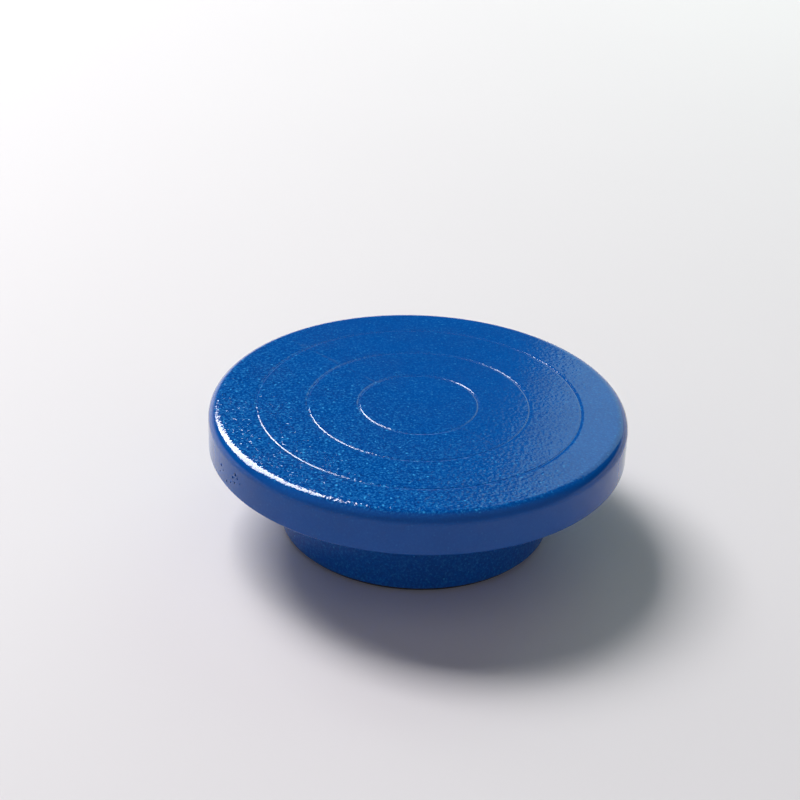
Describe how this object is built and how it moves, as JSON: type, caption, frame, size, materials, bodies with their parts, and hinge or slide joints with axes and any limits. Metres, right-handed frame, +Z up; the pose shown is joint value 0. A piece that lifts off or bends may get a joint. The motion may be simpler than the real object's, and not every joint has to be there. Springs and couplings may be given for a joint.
{
  "type": "pottery wheel",
  "caption": "Small hand-turned metal pottery wheel: a round disc with centring grooves spinning on a ball bearing in a low round base.",
  "frame": {"origin": "on the bench, under the spindle's axis, in the plane of the rubber ring's underside", "axes": "+Z up along the spindle's axis; X and Y lie in the bench plane, with the front towards -Y"},
  "size_m": [0.11, 0.11, 0.035],
  "materials": {
    "blue_paint": "gloss blue enamel with a fine orange-peel texture on a casting",
    "ground_steel": "ground and hardened steel",
    "pressed_steel": "pressed sheet steel",
    "zinc_steel": "bright zinc plate",
    "spring_steel": "dark phosphated spring steel",
    "black_rubber": "matt black rubber"
  },
  "bodies": {
    "base": {"base_housing": "blue_paint", "bottom_cover": "zinc_steel", "antislip_ring": "black_rubber", "housing_circlip": "spring_steel", "bearing_outer_ring": "ground_steel", "bearing_upper_shield": "pressed_steel", "bearing_lower_shield": "pressed_steel", "cover_screw_1": "zinc_steel", "cover_screw_2": "zinc_steel", "cover_screw_3": "zinc_steel", "cover_screw_4": "zinc_steel"},
    "wheel": {"wheel_head": "blue_paint", "spindle": "ground_steel", "bearing_inner_ring": "ground_steel", "spindle_washer": "zinc_steel", "spindle_circlip": "spring_steel", "flange_screw_1": "zinc_steel", "flange_screw_2": "zinc_steel", "flange_screw_3": "zinc_steel", "flange_screw_4": "zinc_steel"},
    "ball_cage": {"cage_upper": "pressed_steel", "cage_lower": "pressed_steel", "cage_rivet_1": "pressed_steel", "cage_rivet_2": "pressed_steel", "cage_rivet_3": "pressed_steel", "cage_rivet_4": "pressed_steel", "cage_rivet_5": "pressed_steel", "cage_rivet_6": "pressed_steel", "cage_rivet_7": "pressed_steel", "cage_rivet_8": "pressed_steel"},
    "ball_1": {"ball_1": "ground_steel"},
    "ball_2": {"ball_2": "ground_steel"},
    "ball_3": {"ball_3": "ground_steel"},
    "ball_4": {"ball_4": "ground_steel"},
    "ball_5": {"ball_5": "ground_steel"},
    "ball_6": {"ball_6": "ground_steel"},
    "ball_7": {"ball_7": "ground_steel"},
    "ball_8": {"ball_8": "ground_steel"}
  },
  "joints": [
    {"name": "head_spin", "type": "hinge", "parent": "base", "child": "wheel", "pos_m": [0, 0, 0], "axis": [0, 0, 1], "continuous": true},
    {"name": "cage_spin", "type": "hinge", "parent": "base", "child": "ball_cage", "pos_m": [0, 0, 0], "axis": [0, 0, 1], "continuous": true},
    {"name": "ball_1_spin", "type": "hinge", "parent": "ball_cage", "child": "ball_1", "pos_m": [0.0125, 0, 0.012], "axis": [0, 0, 1], "continuous": true},
    {"name": "ball_2_spin", "type": "hinge", "parent": "ball_cage", "child": "ball_2", "pos_m": [0.00884, 0.00884, 0.012], "axis": [0, 0, 1], "continuous": true},
    {"name": "ball_3_spin", "type": "hinge", "parent": "ball_cage", "child": "ball_3", "pos_m": [0, 0.0125, 0.012], "axis": [0, 0, 1], "continuous": true},
    {"name": "ball_4_spin", "type": "hinge", "parent": "ball_cage", "child": "ball_4", "pos_m": [-0.00884, 0.00884, 0.012], "axis": [0, 0, 1], "continuous": true},
    {"name": "ball_5_spin", "type": "hinge", "parent": "ball_cage", "child": "ball_5", "pos_m": [-0.0125, 0, 0.012], "axis": [0, 0, 1], "continuous": true},
    {"name": "ball_6_spin", "type": "hinge", "parent": "ball_cage", "child": "ball_6", "pos_m": [-0.00884, -0.00884, 0.012], "axis": [0, 0, 1], "continuous": true},
    {"name": "ball_7_spin", "type": "hinge", "parent": "ball_cage", "child": "ball_7", "pos_m": [0, -0.0125, 0.012], "axis": [0, 0, 1], "continuous": true},
    {"name": "ball_8_spin", "type": "hinge", "parent": "ball_cage", "child": "ball_8", "pos_m": [0.00884, -0.00884, 0.012], "axis": [0, 0, 1], "continuous": true}
  ],
  "couplings": [
    {"joint": "cage_spin", "follows": "head_spin", "ratio": 0.38094},
    {"joint": "ball_1_spin", "follows": "head_spin", "ratio": -1.9807},
    {"joint": "ball_2_spin", "follows": "head_spin", "ratio": -1.9807},
    {"joint": "ball_3_spin", "follows": "head_spin", "ratio": -1.9807},
    {"joint": "ball_4_spin", "follows": "head_spin", "ratio": -1.9807},
    {"joint": "ball_5_spin", "follows": "head_spin", "ratio": -1.9807},
    {"joint": "ball_6_spin", "follows": "head_spin", "ratio": -1.9807},
    {"joint": "ball_7_spin", "follows": "head_spin", "ratio": -1.9807},
    {"joint": "ball_8_spin", "follows": "head_spin", "ratio": -1.9807}
  ]
}
